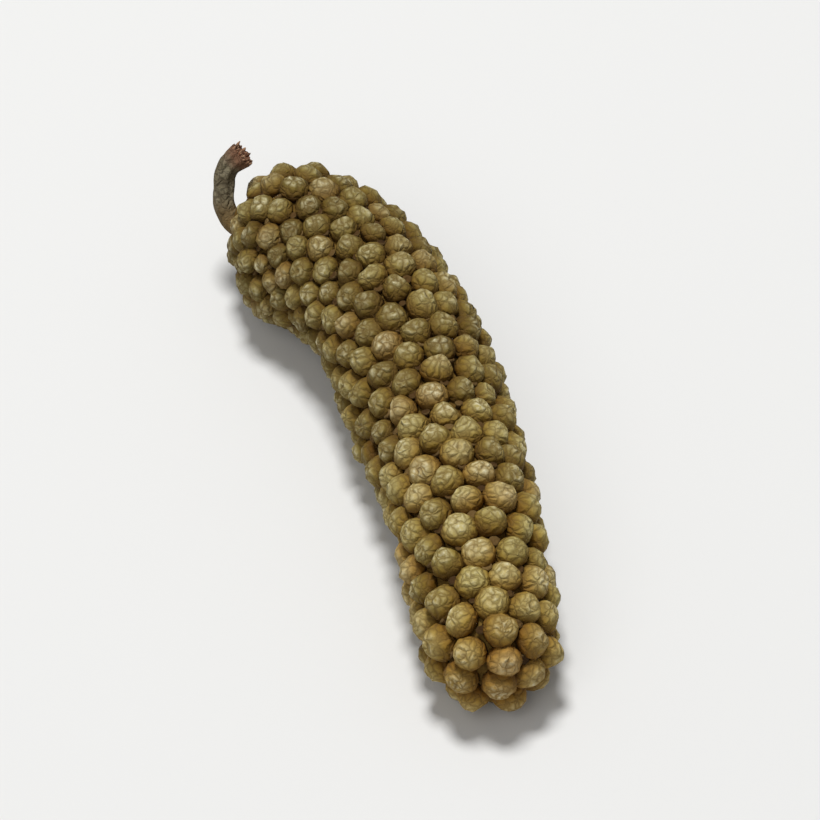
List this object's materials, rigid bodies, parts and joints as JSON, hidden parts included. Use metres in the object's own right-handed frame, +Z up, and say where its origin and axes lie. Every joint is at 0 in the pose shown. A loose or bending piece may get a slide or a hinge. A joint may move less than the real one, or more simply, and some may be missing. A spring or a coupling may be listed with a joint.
{
  "type": "dried long pepper",
  "caption": "Dried long pepper lying on its side: a slightly bent spike covered in small rounded berries, with a short bent stub of stalk.",
  "frame": {"origin": "on the surface that the pepper lies on, under the middle of its bounding box", "axes": "+X from the stalk end towards the tip, +Y towards the outer side of its bend, +Z up"},
  "size_m": [0.0246, 0.0076, 0.0061],
  "materials": {
    "berry_skin": "dry, matt, tan to khaki brown with pale dusty tops and dark brown gaps",
    "stalk_bark": "dry, matt, grey brown with a reddish brown broken end"
  },
  "bodies": {
    "root": {"fruit_spike": "berry_skin", "stalk": "stalk_bark"}
  },
  "joints": []
}
